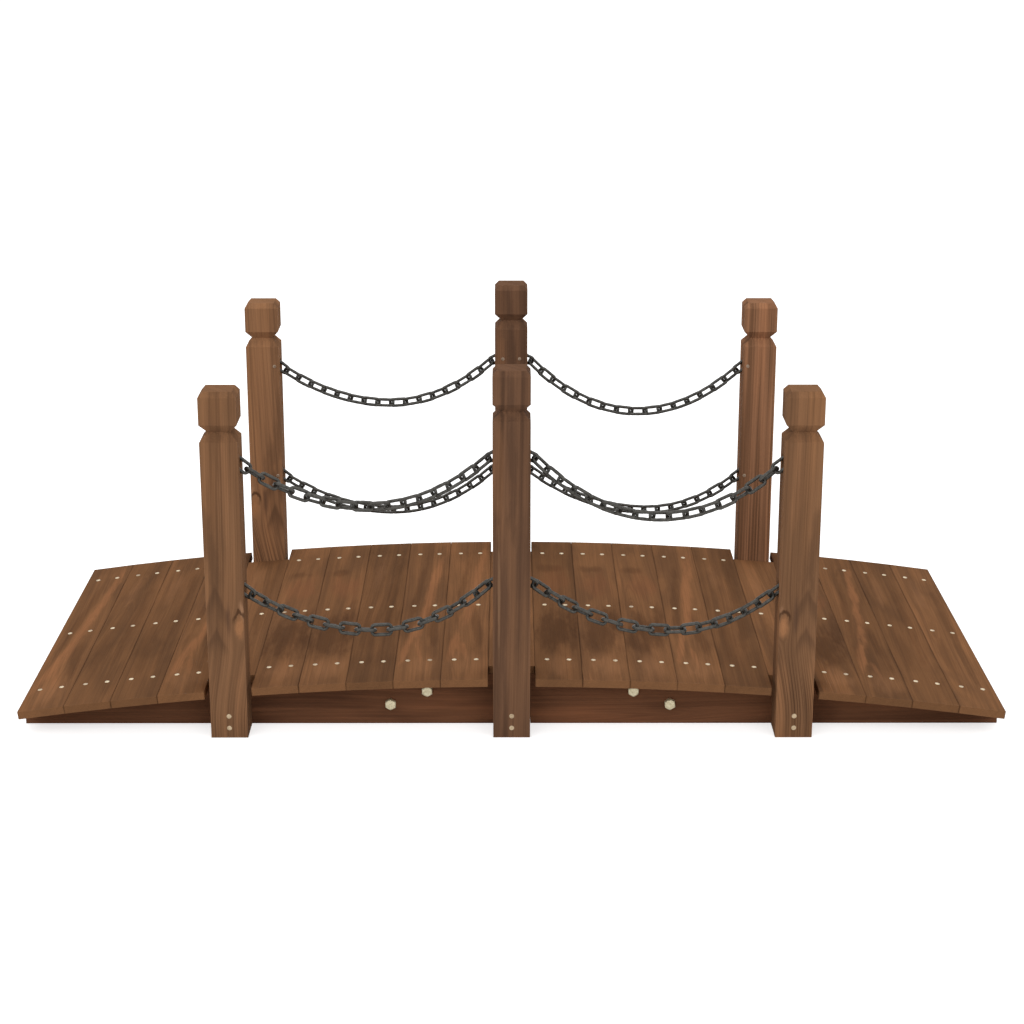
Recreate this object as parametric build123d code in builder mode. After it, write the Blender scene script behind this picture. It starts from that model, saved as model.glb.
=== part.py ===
from build123d import *
import math
import os

# Wooden garden bridge: an arched plank deck on three stringers, six posts and eight hanging chains.
# Millimetres, +X along the walk, +Y to the rear, +Z up, origin at the middle of the footprint.

# Deck
bridge_length = 1500.0
deck_width = 670.0
crown_height = 94.8
deck_rise = 53.1
plank_count = 21
plank_thickness = 12.0
plank_gap = 0.4
seat_clearance = 0.1

# Stringers
stringer_thickness = 38.0
stringer_butt_gap = 0.3
stringer_joint_offset = 28.7

# Splice plates and their bolts
splice_length = 480.0
splice_thickness = 18.0
splice_bottom = 10.0
splice_top = 68.0
bolt_diameter = 10.0
bolt_hole_clearance = 0.3
bolt_head_width = 16.0
bolt_head_height = 6.5
nut_height = 8.0
bolt_sides = 8
outer_bolt_offset = 215.0
outer_bolt_height = 33.0
inner_bolt_offset = 158.5
inner_bolt_height = 55.0

# Posts
post_size = 56.0
post_spacing = 428.6
end_post_height = 540.5
centre_post_height = 571.5
post_end_clearance = 0.5
cap_chamfer_width = 8.0
cap_chamfer_height = 6.5
cap_height = 49.0
groove_upper_height = 13.0
groove_lower_height = 13.5
groove_depth = 11.5

# Chains: wire, link and the pin that holds each end inside its post
link_pitch = 24.5
link_width = 20.0
wire_diameter = 5.0
link_corner = 4.5
link_clearance = 0.3
wire_sides = 4
pin_sides = 8
pin_head_sides = 6
socket_sides = 8
pin_diameter = 4.0
pin_length = 42.0
pin_head_diameter = 6.5
pin_head_height = 2.0
pin_clearance = 0.2
end_pin_depth = 7.5
centre_pin_depth = 13.6
socket_clearance = 0.8
socket_end_clearance = 1.0

# Heights of the pins at the centre posts and the end posts
centre_upper_pin_height = 444.0
centre_lower_pin_height = 247.6
end_upper_pin_height = 431.0
end_lower_pin_height = 234.6

# Slopes of the end links below the level, in degrees
centre_link_slope = 26.0
end_link_slope = 38.0

# Lowest point of each chain: distance from the middle of the bridge, and height
left_upper_low_distance = 210.5
left_upper_low_height = 359.3
left_lower_low_distance = 207.7
left_lower_low_height = 164.0
right_upper_low_distance = 220.7
right_upper_low_height = 343.6
right_lower_low_distance = 240.1
right_lower_low_height = 163.5

# How far each chain is twisted about its own line, in degrees, at even stations from the centre post
chain_twists = {
    ("front", "left", "upper"): (-28, -28, -40, -65),
    ("front", "left", "lower"): (-38, 10, 17, 75),
    ("front", "right", "upper"): (-28, -28, -28, -60),
    ("front", "right", "lower"): (-28, -73, -100, -128),
    ("rear", "left", "upper"): (-28, -28, -28, -38),
    ("rear", "left", "lower"): (-28, -28, -28, -38),
    ("rear", "right", "upper"): (-28, -28, -28, -38),
    ("rear", "right", "lower"): (-28, -28, -28, -38),
}

sides = {"left": -1, "right": 1}
rows = {"front": -1, "rear": 1}
chain_low_points = {
    ("left", "upper"): (left_upper_low_distance, left_upper_low_height),
    ("left", "lower"): (left_lower_low_distance, left_lower_low_height),
    ("right", "upper"): (right_upper_low_distance, right_upper_low_height),
    ("right", "lower"): (right_lower_low_distance, right_lower_low_height),
}

# The deck follows one circle, and each plank is as wide as its share of the arc
half_length = bridge_length / 2
half_width = deck_width / 2
deck_radius = (half_length**2 + deck_rise**2) / (2 * deck_rise)
circle_height = crown_height - deck_radius
plank_angle = 2 * math.asin(half_length / deck_radius) / plank_count
plank_width = 2 * deck_radius * math.tan(plank_angle / 2) - plank_gap
stringer_radius = deck_radius - plank_thickness - seat_clearance

# Posts stand against the outer stringers, with their outer faces in line with the plank ends
post_line = half_width - post_size / 2
post_inner_face = half_width - post_size
outer_stringer_line = post_inner_face - stringer_thickness / 2
short_plank_length = 2 * (post_inner_face - post_end_clearance)

os.makedirs("parts", exist_ok=True)


def plank_length_at(angle):
    """Planks that meet a post are cut short between the two rows of posts."""
    place = deck_radius * math.sin(angle)
    meets_post = any(abs(place - post_x) < plank_width / 2 for post_x in (-post_spacing, 0, post_spacing))
    return short_plank_length if meets_post else deck_width


# Deck planks
for number in range(1, plank_count + 1):
    tilt = (number - (plank_count + 1) / 2) * plank_angle
    plank_plane = Plane(
        origin=(deck_radius * math.sin(tilt), 0, circle_height + deck_radius * math.cos(tilt)),
        x_dir=(math.cos(tilt), 0, -math.sin(tilt)),
        z_dir=(math.sin(tilt), 0, math.cos(tilt)),
    )
    with BuildPart() as plank:
        with BuildSketch(plank_plane):
            Rectangle(plank_width, plank_length_at(tilt))
        extrude(amount=-plank_thickness)
    name = f"plank_{number:02d}"
    plank.part.label = name
    export_step(plank.part, f"parts/{name}.step")


# Bolt positions along the stringers, either side of the joint, and their heights
bolt_places = [
    (stringer_joint_offset + side * offset, height)
    for side in (-1, 1)
    for offset, height in ((inner_bolt_offset, inner_bolt_height), (outer_bolt_offset, outer_bolt_height))
]

# Each stringer is two halves that butt just past the centre post and share a splice plate.
# Row: line of the stringer in Y, and which way its splice faces (+1 to the rear).
stringer_rows = {
    "front": (-outer_stringer_line, 1),
    "middle": (0.0, 1),
    "rear": (outer_stringer_line, -1),
}
bolt_hole_radius = bolt_diameter / 2 + bolt_hole_clearance


def stringer_top(x):
    """Point on the top edge of a stringer at a distance x from the middle."""
    return x, circle_height + math.sqrt(stringer_radius**2 - x**2)


for row, (line, splice_side) in stringer_rows.items():
    for side, sign in sides.items():
        butt = sign * stringer_joint_offset + stringer_butt_gap / 2
        face_line = line - stringer_thickness / 2
        front_face = Plane(origin=(0, face_line, 0), x_dir=(sign, 0, 0), z_dir=(0, -sign, 0))
        with BuildPart() as beam:
            with BuildSketch(front_face):
                with BuildLine():
                    top = ThreePointArc(*[stringer_top(x) for x in (butt, half_length / 2, half_length)])
                    Polyline(top @ 1, (half_length, 0), (butt, 0), top @ 0)
                make_face()
                with Locations(*[(sign * x, z) for x, z in bolt_places if x * sign > 0]):
                    RegularPolygon(bolt_hole_radius, bolt_sides, major_radius=False, mode=Mode.SUBTRACT)
            extrude(amount=-sign * stringer_thickness)
        name = f"beam_{row}_{side}"
        beam.part.label = name
        export_step(beam.part, f"parts/{name}.step")

# Splice plates, on the hidden side of each stringer
with BuildPart() as splices:
    for line, splice_side in stringer_rows.values():
        splice_face = line + splice_side * stringer_thickness / 2
        splice_plane = Plane(origin=(0, splice_face, 0), x_dir=(1, 0, 0), z_dir=(0, -1, 0))
        with BuildSketch(splice_plane):
            with Locations((stringer_joint_offset, (splice_bottom + splice_top) / 2)):
                Rectangle(splice_length, splice_top - splice_bottom)
            with Locations(*bolt_places):
                RegularPolygon(bolt_hole_radius, bolt_sides, major_radius=False, mode=Mode.SUBTRACT)
        extrude(amount=-splice_side * splice_thickness)
splices.part.label = "splice_plates"
export_step(splices.part, "parts/splice_plates.step")

# Bolts with hexagon heads outside and nuts over the splice plates
clamped = stringer_thickness + splice_thickness
with BuildPart() as bolts:
    for line, splice_side in stringer_rows.values():
        head_face = line - splice_side * stringer_thickness / 2
        head_plane = Plane(origin=(0, head_face, 0), x_dir=(1, 0, 0), z_dir=(0, -1, 0))
        nut_plane = head_plane.offset(-splice_side * clamped)
        with BuildSketch(head_plane):
            with Locations(*bolt_places):
                RegularPolygon(bolt_head_width / 2, 6, major_radius=False, rotation=30)
        extrude(amount=splice_side * bolt_head_height)
        with BuildSketch(head_plane):
            with Locations(*bolt_places):
                RegularPolygon(bolt_diameter / 2, bolt_sides, major_radius=False)
        extrude(amount=-splice_side * (clamped + nut_height))
        with BuildSketch(nut_plane):
            with Locations(*bolt_places):
                RegularPolygon(bolt_head_width / 2, 6, major_radius=False, rotation=30)
        extrude(amount=-splice_side * nut_height)
bolts.part.label = "splice_bolts"
export_step(bolts.part, "parts/splice_bolts.step")

# Where each chain is pinned, as distance from the middle of the bridge
half_post = post_size / 2
end_pin_x = post_spacing - half_post + end_pin_depth
centre_pin_x = half_post - centre_pin_depth
pin_depths = {"centre": centre_pin_depth, "end": end_pin_depth}
pin_heights = {
    "centre": {"upper": centre_upper_pin_height, "lower": centre_lower_pin_height},
    "end": {"upper": end_upper_pin_height, "lower": end_lower_pin_height},
}
link_slopes = {"centre": math.radians(centre_link_slope), "end": math.radians(end_link_slope)}
socket_radius = link_width / 2 + socket_clearance
socket_floor = pin_diameter / 2 + wire_diameter + socket_end_clearance


def hanging_parameter(run, drop):
    """Parameter of a catenary that rises by drop over the horizontal run from its lowest point."""
    low, high = run / 20, run * run * 10 / drop
    for _ in range(60):
        middle = (low + high) / 2
        if middle * (math.cosh(run / middle) - 1) > drop:
            low = middle
        else:
            high = middle
    return high


def on_end_link(post_end, level, distance):
    """Point on a chain's line, as distance from the middle and height, that far out from its pin."""
    pin_x = centre_pin_x if post_end == "centre" else end_pin_x
    into_bay = 1 if post_end == "centre" else -1
    slope = link_slopes[post_end]
    height = pin_heights[post_end][level] - distance * math.sin(slope)
    return pin_x + into_bay * distance * math.cos(slope), height


def chain_joint_points(side, level):
    """Points (distance from the middle, height) where links meet, from the centre pin to the end pin.

    The end links slope down from their pins. Between them each half of the chain is a catenary
    from its lowest point, and the links share the length evenly.
    """
    low_x, low_z = chain_low_points[(side, level)]
    pin_radius = pin_diameter / 2
    first, last = [on_end_link(post_end, level, link_pitch - pin_radius) for post_end in ("centre", "end")]
    parameters = [hanging_parameter(abs(x - low_x), z - low_z) for x, z in (first, last)]
    lengths = [a * math.sinh(abs(x - low_x) / a) for a, (x, z) in zip(parameters, (first, last))]
    count = round(sum(lengths) / link_pitch)
    points = [on_end_link("centre", level, -pin_radius), first]
    for index in range(1, count):
        distance = index * sum(lengths) / count - lengths[0]
        parameter = parameters[0] if distance < 0 else parameters[1]
        run = parameter * math.asinh(distance / parameter)
        points.append((low_x + run, low_z + parameter * (math.cosh(run / parameter) - 1)))
    return points + [last, on_end_link("end", level, -pin_radius)]


def post_body(x, row_sign, height, post_end, chain_sides):
    """One post, with its chamfered top, groove, chain sockets and pin holes.

    chain_sides lists the bays whose chains end in this post. Each socket runs along its end link.
    """
    y = row_sign * post_line
    slope = link_slopes[post_end]
    groove_top = height - cap_height
    groove_neck = groove_top - groove_upper_height
    groove_bottom = groove_neck - groove_lower_height
    pin_places = []
    with BuildPart() as post:
        with BuildSketch(Plane((x, y, 0))):
            Rectangle(post_size, post_size)
        extrude(amount=height)
        top_face = post.faces().sort_by(Axis.Z)[-1]
        chamfer(top_face.edges(), cap_chamfer_height, cap_chamfer_width, reference=top_face)
        for across, facing in (((1, 0, 0), (0, -1, 0)), ((0, 1, 0), (1, 0, 0))):
            with BuildSketch(Plane(origin=(x, y, 0), x_dir=across, z_dir=facing)):
                for face in (-half_post, half_post):
                    neck = math.copysign(half_post - groove_depth, face)
                    with BuildLine():
                        Polyline((face, groove_bottom), (neck, groove_neck), (face, groove_top), close=True)
                    make_face()
            extrude(amount=half_post, both=True, mode=Mode.SUBTRACT)
        for side in chain_sides:
            into_bay = sides[side] if post_end == "centre" else -sides[side]
            pin_x = x + into_bay * (half_post - pin_depths[post_end])
            for pin_height in pin_heights[post_end].values():
                along = (into_bay * math.cos(slope), 0, -math.sin(slope))
                across_pin = Plane(origin=(pin_x, y, pin_height), x_dir=(0, 1, 0), z_dir=along)
                with BuildSketch(across_pin.offset(-socket_floor)):
                    RegularPolygon(socket_radius, socket_sides, major_radius=False)
                extrude(amount=post_size, mode=Mode.SUBTRACT)
                pin_places.append((pin_x, pin_height))
        inner_face = Plane(origin=(0, y - row_sign * half_post, 0), x_dir=(1, 0, 0), z_dir=(0, -1, 0))
        with BuildSketch(inner_face):
            with Locations(*pin_places):
                RegularPolygon(pin_diameter / 2 + pin_clearance, pin_sides)
        extrude(amount=-row_sign * pin_length, mode=Mode.SUBTRACT)
    return post.part


# Posts: position along the bridge, height, and the bays whose chains they hold
post_kinds = {
    "left": (-post_spacing, end_post_height, "end", ("left",)),
    "centre": (0.0, centre_post_height, "centre", ("left", "right")),
    "right": (post_spacing, end_post_height, "end", ("right",)),
}
for row, row_sign in rows.items():
    for kind, (x, height, post_end, chain_sides) in post_kinds.items():
        post = post_body(x, row_sign, height, post_end, chain_sides)
        post.label = f"post_{row}_{kind}"
        export_step(post, f"parts/post_{row}_{kind}.step")

# Screws that pin the chain ends inside the posts, driven from the deck side
pin_places = [
    (sign * pin_x, pin_height)
    for sign in sides.values()
    for pin_x, post_end in ((centre_pin_x, "centre"), (end_pin_x, "end"))
    for pin_height in pin_heights[post_end].values()
]
with BuildPart() as pins:
    for row_sign in rows.values():
        pin_plane = Plane(origin=(0, row_sign * post_inner_face, 0), x_dir=(1, 0, 0), z_dir=(0, -1, 0))
        with BuildSketch(pin_plane):
            with Locations(*pin_places):
                RegularPolygon(pin_head_diameter / 2, pin_head_sides)
        extrude(amount=row_sign * pin_head_height)
        with BuildSketch(pin_plane):
            with Locations(*pin_places):
                RegularPolygon(pin_diameter / 2, pin_sides)
        extrude(amount=-row_sign * (pin_length - pin_clearance))
pins.part.label = "chain_screws"
export_step(pins.part, "parts/chain_screws.step")


def link_body(pitch):
    """One closed link in its own frame: long axis X, wide axis Y."""
    half_run = (pitch + link_clearance + wire_diameter) / 2
    half_rise = (link_width - wire_diameter) / 2
    with BuildPart() as link:
        with BuildLine():
            Polyline(
                (0, half_rise),
                (half_run - link_corner, half_rise),
                (half_run, half_rise - link_corner),
                (half_run, link_corner - half_rise),
                (half_run - link_corner, -half_rise),
                (link_corner - half_run, -half_rise),
                (-half_run, link_corner - half_rise),
                (-half_run, half_rise - link_corner),
                (link_corner - half_run, half_rise),
                (0, half_rise),
            )
        with BuildSketch(Plane(origin=(0, half_rise, 0), x_dir=(0, 1, 0), z_dir=(1, 0, 0))):
            RegularPolygon(wire_diameter / 2, wire_sides)
        sweep(transition=Transition.RIGHT)
    return link.part


def link_turn(index, count, twists):
    """Turn of a link about the chain's line: a quarter turn from each link to the next, plus the twist."""
    place = index / (count - 1) * (len(twists) - 1)
    station = min(int(place), len(twists) - 2)
    before, after = twists[station : station + 2]
    return 90 * index + before + (place - station) * (after - before)


def link_planes(row, side, level):
    """Planes of a chain's links: x along the link, z through its opening."""
    points = chain_joint_points(side, level)
    planes = []
    for index, ((x1, z1), (x2, z2)) in enumerate(zip(points, points[1:])):
        along = Vector(sides[side] * (x2 - x1), 0, z2 - z1).normalized()
        turn = link_turn(index, len(points) - 1, chain_twists[(row, side, level)])
        through = Vector(0, 1, 0).rotate(Axis((0, 0, 0), tuple(along)), -sides[side] * turn)
        middle = (sides[side] * (x1 + x2) / 2, rows[row] * post_line, (z1 + z2) / 2)
        planes.append(Plane(origin=middle, x_dir=along, z_dir=through))
    return planes


# Chains, from pin to pin
for side, level in chain_low_points:
    (x1, z1), (x2, z2) = chain_joint_points(side, level)[1:3]
    hanging_link = link_body(math.hypot(x2 - x1, z2 - z1))
    end_link = link_body(link_pitch)
    for row in rows:
        first, *hanging, last = link_planes(row, side, level)
        with BuildPart() as chain:
            with Locations(first, last):
                add(end_link)
            with Locations(*hanging):
                add(hanging_link)
        chain.part.label = f"chain_{row}_{side}_{level}"
        export_step(chain.part, f"parts/chain_{row}_{side}_{level}.step")
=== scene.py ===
"""Looks of the wooden garden bridge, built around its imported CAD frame. Metres, +X along the walk, +Z up."""

import math
import random
from collections import namedtuple

import bmesh
import bpy
import numpy as np
from mathutils import Matrix, Vector


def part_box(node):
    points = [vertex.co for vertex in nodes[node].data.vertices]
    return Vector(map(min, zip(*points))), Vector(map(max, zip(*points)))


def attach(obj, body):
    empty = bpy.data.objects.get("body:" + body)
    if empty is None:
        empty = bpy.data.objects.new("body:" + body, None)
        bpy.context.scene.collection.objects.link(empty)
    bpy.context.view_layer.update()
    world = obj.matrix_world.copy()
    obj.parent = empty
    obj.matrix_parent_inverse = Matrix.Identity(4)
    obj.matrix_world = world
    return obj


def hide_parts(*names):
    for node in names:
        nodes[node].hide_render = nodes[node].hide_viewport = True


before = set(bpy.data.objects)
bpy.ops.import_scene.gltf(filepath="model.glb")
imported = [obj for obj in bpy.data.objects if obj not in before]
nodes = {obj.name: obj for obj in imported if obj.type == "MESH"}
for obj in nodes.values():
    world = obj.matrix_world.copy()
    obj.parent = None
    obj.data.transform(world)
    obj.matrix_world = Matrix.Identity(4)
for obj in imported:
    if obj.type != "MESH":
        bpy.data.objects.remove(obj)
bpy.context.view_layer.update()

MM = 0.001
MM_IN_METRE = 1000

# Camera: the photograph's station point, aimed so that the frame needs no lens shift
CAMERA_PLACE = Vector((-4.0, -3500.1, 1347.8)) * MM
CAMERA_PITCH = math.radians(17.34)
CAMERA_YAW = math.radians(-0.082)
CAMERA_LENS = 79.09
SENSOR_WIDTH = 36.0
CLIP_END = 100.0

# Stage: floor, background and lamps
FLOOR_REACH = 30.0
FLOOR_GREY = (0.86, 0.86, 0.86, 1)
FLOOR_GLOW = 0.62
WHITE = (1, 1, 1, 1)
FILL_STRENGTH = 0.55
BACKDROP_STRENGTH = 1.0
LAMP_SIZE = 5.0
LAMP_TARGET = Vector((0, 0, 0.25))
LAMPS = (
    ("key", (-3.6, -6.4, 5.6), 185.0),
    ("fill", (3.8, -6.4, 5.2), 150.0),
    ("top", (0.0, 1.6, 7.0), 150.0),
)

# Chain links: round wire bent to a rounded rectangle, welded on one long side
WIRE_RADIUS = 2.6 * MM
SOLID_WIRE_RADIUS = 2.5 * MM
LINK_HALF_WIDTH = 7.5 * MM
LINK_CORNER_RADIUS = 5.2 * MM
CORNER_STEPS = 6
SIDE_STEPS = 7
WIRE_SIDES = 10
WELD_SWELL = 0.16
WELD_REACH = 1.5 * MM

# Screw heads. The rings, rim and recess are shares of a head's radius or of its rise.
HEAD_RADIUS = 3.7 * MM
HEAD_RISE = 1.1 * MM
POST_HEAD_RISE = 0.15 * MM
PIN_HEAD_RADIUS = 3.0 * MM
PIN_HEAD_RISE = 1.4 * MM
SOLID_PIN_HEAD_HEIGHT = 2.0 * MM
HEAD_SINK = 0.1
HEAD_STEPS = 28
HEAD_RINGS = (0.0, 0.12, 0.24, 0.36, 0.5, 0.64, 0.8, 0.92, 1.0)
HEAD_RIM = 0.25
RECESS_HALF_WIDTH = 0.11
RECESS_REACH = 0.55
RECESS_DEPTH = 0.8

# Where the screws stand
DECK_SCREW_SPREAD = 17.0 * MM
FRONT_SCREW_ROW = -250.0 * MM
MIDDLE_SCREW_ROW = 0.0
REAR_SCREW_ROW = 269.0 * MM
SCREW_ROWS = (FRONT_SCREW_ROW, MIDDLE_SCREW_ROW, REAR_SCREW_ROW)
SHORT_PLANKS = (5, 11, 17)
POST_SCREW_HEIGHTS = (15.8 * MM, 35.0 * MM)

# Bolts. BOLT_CROWN and BOLT_DISH_WIDTH are shares of the width across flats.
BOLT_STEPS = 48
BOLT_CHAMFER = math.radians(34)
BOLT_CROWN = 0.84
BOLT_DISH = 1.2 * MM
BOLT_DISH_WIDTH = 0.35
BOLT_SPIN = 0.05
NUT_HEIGHT = 8.0 * MM
SHANK_RADIUS = 5.0 * MM
REAR_BOLT_REACH = 40.0 * MM

# Edges of sawn timber are eased by this much
EASED_EDGE = 0.9 * MM
PLANK_EDGE = 0.5 * MM
EASED_ANGLE = math.radians(25)
EASED_SEGMENTS = 2
WELD_DISTANCE = 0.005 * MM

# A texture's waves are its cycles in a metre, across, deep and along the board
Texture = namedtuple("Texture", "waves detail roughness distortion")
DRIFT = Texture((6, 6, 2.2), 1.0, 0.5, 0.0)
FIBRE = Texture((620, 620, 9), 3.0, 0.6, 0.0)
STREAK = Texture((230, 1, 2.4), 2.0, 0.55, 0.0)
BAND = Texture((62, 1, 1.3), 1.5, 0.5, 0.0)
GLOW = Texture((26, 26, 3.0), 2.0, 0.5, 0.3)
FADE = Texture((14, 14, 3.5), 1.0, 0.5, 0.0)
PORES = Texture((900, 900, 900), 2.0, 0.5, 0.0)
MARK_EDGE = Texture((60, 60, 13), 4.0, 0.6, 0.0)
KNOT_EDGE = Texture((110, 110, 45), 3.0, 0.6, 0.0)
CHEVRON_DRIFT = Texture((45, 45, 16), 2.0, 0.5, 0.0)
PATCH_WAVES = 20
PATCH_DETAIL = 2.0
PATCH_ROUGHNESS = 0.5
PATCH_DISTORTION = 0.5

# Each board draws its own place in the textures, lean of the grain and lift of the tone
SEED_REACH = 5
LEAN_REACH = 0.03
TONE_LIFT = (0.94, 1.06)

# Growth rings: how unevenly they lie, and where in a ring the dark late wood comes and goes
YEAR_WAVES = 130.0
YEAR_SHIFT = 1.6
RING_RISE = (0.25, 0.80)
RING_FALL = (1.0, 0.86)

# Where on each texture's scale its colour comes in, and how much of it
PATCH_SPAN = (0.44, 0.70)
GLOW_SPAN = (0.48, 0.74)
GLOW_SHARE = 0.8
BAND_SPAN = (0.45, 0.62)
STREAK_SPAN = (0.50, 0.72)
LIGHT_STREAK_SPAN = (0.48, 0.28)
LIGHT_STREAK_SHARE = 0.5
FADE_SPAN = (0.35, 0.65)
FADE_LOWEST = 0.25
GRIT_SPAN = (0.3, 0.7)
GRIT = (0.91, 1.09)

# Paler arrises (wear and a painted highlight), end grain, and the joints between deck boards darkened by dirt
# and painted shade
ARRIS_SPAN = (1.6 * MM, 0.4 * MM)
ARRIS_HIGHLIGHT_SHARE = 0.07
POST_ARRIS_HIGHLIGHT_SHARE = 0.14
ARRIS_HIGHLIGHT_COLOUR = (150, 112, 84)
END_SPAN = (0.75, 0.95)
END_SHARE = 0.65
PORE_SPAN = (0.40, 0.65)
PORE_SHARE = 0.5
DIRT_AND_SHADE_SPAN = (0.35, 0.65)
DIRT_AND_SHADE_LOWEST = 0.25
JOINT_SPAN = (1.9 * MM, 0.4 * MM)
JOINT_SHADE = 0.45
DIRT_AND_SHADE_COLOUR = (40, 26, 17)

# Sheen and relief of the timber
ROUGHNESS_SPAN = (0.2, 0.8)
WOOD_ROUGHNESS = (0.74, 0.92)
WOOD_SPECULAR = 0.02
LATE_WOOD_DEPTH = -0.4
GRAIN_RELIEF = 0.35 * MM
RELIEF_STRENGTH = 0.5

# How much the grain shifts sideways from a board's front to its back, leaving out the eased outer layers
SLANT = 0.8
SLANT_DEPTH = 20.0 * MM

# Depth from a post's middle over which the figure of its front face fades in
FIGURE_INNER = 17.0 * MM
FIGURE_OUTER = 27.0 * MM

# Where the grain of an end post leans near the foot, on its front and back alone, and how strong its lines
# are there
SWEEP_FOOT = 0.020
SWEEP_TOP = 0.190
SIDE_SPAN = (0.95, 0.75)
SWEPT_LINES = (0.35, 1.6)

# Knots: their size, the wobble of their edge, and how far their heart and rim reach, as shares of the radius.
# KNOT_RINGS is rings in a metre, and KNOT_UPPER is the height over which the rim of bark comes in.
KNOT_RADIUS = 9.0 * MM
KNOT_SQUEEZE = 0.42
KNOT_DEPTH_SQUEEZE = 0.12
KNOT_WOBBLE = 9.0 * MM
KNOT_HEART = (1.15, 0.35)
KNOT_HEART_SHARE = 0.85
KNOT_HEART_COLOUR = (168, 119, 82)
KNOT_RINGS = 420.0
KNOT_RING_SHARE = 0.22
KNOT_RING_COLOUR = (112, 72, 46)
KNOT_UPPER = (1.0 * MM, 8.0 * MM)
KNOT_RIM_INNER = (0.95, 1.1)
KNOT_RIM_OUTER = (1.45, 1.2)
KNOT_RIM_SHARE = 0.75
KNOT_RIM_COLOUR = (66, 44, 31)

# Nested inverted Vs beside a knot
CHEVRON_AXIS = 13.5 * MM
CHEVRON_SLOPE = 2.2
CHEVRON_PITCH = 62.0 * MM
CHEVRON_HEIGHTS = (0.120, 0.262)
CHEVRON_WANDER = 0.030
CHEVRON_RISE = (0.25, 0.75)
CHEVRON_FALL = (1.0, 0.80)
CHEVRON_FADE_IN = 0.040
CHEVRON_FADE_OUT = (0.012, 0.004)
CHEVRON_HALF_WIDTH = (0.022, 0.010)
CHEVRON_SHARE = 0.55
CHEVRON_COLOUR = (88, 64, 48)

# Soft marks: how far their edge wanders, and over which reach they fade, as shares of their half size
MARK_WANDER = 2.0
MARK_FADE = (1.15, 0.30)

# Coats on steel
CLOUD_SCALE = 210.0
CLOUD_SPAN = (0.38, 0.68)
TARNISH_SCALE = 23.0
TARNISH_SPAN = (0.48, 0.70)
TARNISH = (134, 108, 82)
PITTING_SPAN = (0.3, 0.7)
COAT_SMOOTHER = 0.08
COAT_ROUGHER = 0.1
PITTING_DEPTH = 0.06 * MM
PITTING_STRENGTH = 0.5


def linear(red, green, blue):
    """Colour given in 0 to 255 display values, as linear RGBA."""
    values = [v / 255 for v in (red, green, blue)]
    return tuple(v / 12.92 if v <= 0.04045 else ((v + 0.055) / 1.055) ** 2.4 for v in values) + (1.0,)


class Shader:
    """A node material that is built one call at a time."""

    def __init__(self, name):
        self.material = bpy.data.materials.new(name)
        self.material.use_nodes = True
        self.tree = self.material.node_tree
        self.tree.nodes.clear()
        self.surface = self.tree.nodes.new("ShaderNodeBsdfPrincipled")
        output = self.tree.nodes.new("ShaderNodeOutputMaterial")
        self.tree.links.new(self.surface.outputs[0], output.inputs["Surface"])

    def add(self, kind, out=0, props=None, **inputs):
        """Adds a node, sets or links its inputs, and returns one output.

        An input's name has _ for a space, or is i with the socket's number.
        """
        node = self.tree.nodes.new("ShaderNode" + kind)
        for key, value in (props or {}).items():
            setattr(node, key, value)
        for key, value in inputs.items():
            numbered = key[0] == "i" and key[1:].isdigit()
            self.feed(node, int(key[1:]) if numbered else key.replace("_", " "), value)
        return node.outputs[out]

    def feed(self, node, socket, value):
        if isinstance(value, bpy.types.NodeSocket):
            self.tree.links.new(value, node.inputs[socket])
        else:
            node.inputs[socket].default_value = value

    def surface_link(self, name, value):
        self.tree.links.new(value, self.surface.inputs[name])

    def math(self, operation, a, b=0.0, c=0.0):
        return self.add("Math", props={"operation": operation}, i0=a, i1=b, i2=c)

    def times(self, a, b):
        return self.math("MULTIPLY", a, b)

    def plus(self, a, b):
        return self.math("ADD", a, b)

    def minus(self, a, b):
        return self.math("SUBTRACT", a, b)

    def vector(self, operation, a, b, out=0):
        return self.add("VectorMath", out, {"operation": operation}, i0=a, i1=b)

    def remap(self, value, low, high, to_low=0.0, to_high=1.0, smooth=True):
        kind = "SMOOTHSTEP" if smooth else "LINEAR"
        return self.add("MapRange", props={"interpolation_type": kind}, Value=value, From_Min=low,
                        From_Max=high, To_Min=to_low, To_Max=to_high)

    def noise(self, vector, scale, detail=2.0, roughness=0.5, distortion=0.0):
        return self.add("TexNoise", Vector=vector, Scale=scale, Detail=detail, Roughness=roughness,
                        Distortion=distortion)

    def stretch(self, vector, across, deep, along):
        return self.vector("MULTIPLY", vector, (across, deep, along))

    def texture(self, vector, texture):
        stretched = self.stretch(vector, *texture.waves)
        return self.noise(stretched, 1.0, texture.detail, texture.roughness, texture.distortion)

    def mix(self, factor, first, second):
        node = self.tree.nodes.new("ShaderNodeMix")
        node.data_type = "RGBA"
        self.feed(node, 0, factor)
        self.feed(node, 6, first)
        self.feed(node, 7, second)
        return node.outputs[2]

    def tinted(self, colour, tint, value, span, share):
        """The colour, with a share of a tint where a value has passed over a span."""
        return self.mix(self.times(self.remap(value, *span), share), colour, tint)

    def relief(self, height, distance, strength):
        bump = self.add("Bump", Height=height, Distance=distance, Strength=strength)
        self.surface_link("Normal", bump)


class Board:
    """A piece of timber: its place, its own directions (across, deep, along) and half sizes."""

    def __init__(self, name, along, across):
        mesh = nodes[name].data
        points = np.array([v.co for v in mesh.vertices])
        self.name = name
        self.along = Vector(along)
        self.across = Vector(across).normalized()
        self.deep = self.along.cross(self.across)
        axes = np.array([self.across, self.deep, self.along])
        spans = points @ axes.T
        low, high = spans.min(0), spans.max(0)
        self.centre = Vector((low + high) / 2 @ axes)
        self.half = (high - low) / 2

    def rotation(self):
        """Turns a point of the frame into the board's own directions."""
        return Matrix((self.across, self.deep, self.along))


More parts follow.
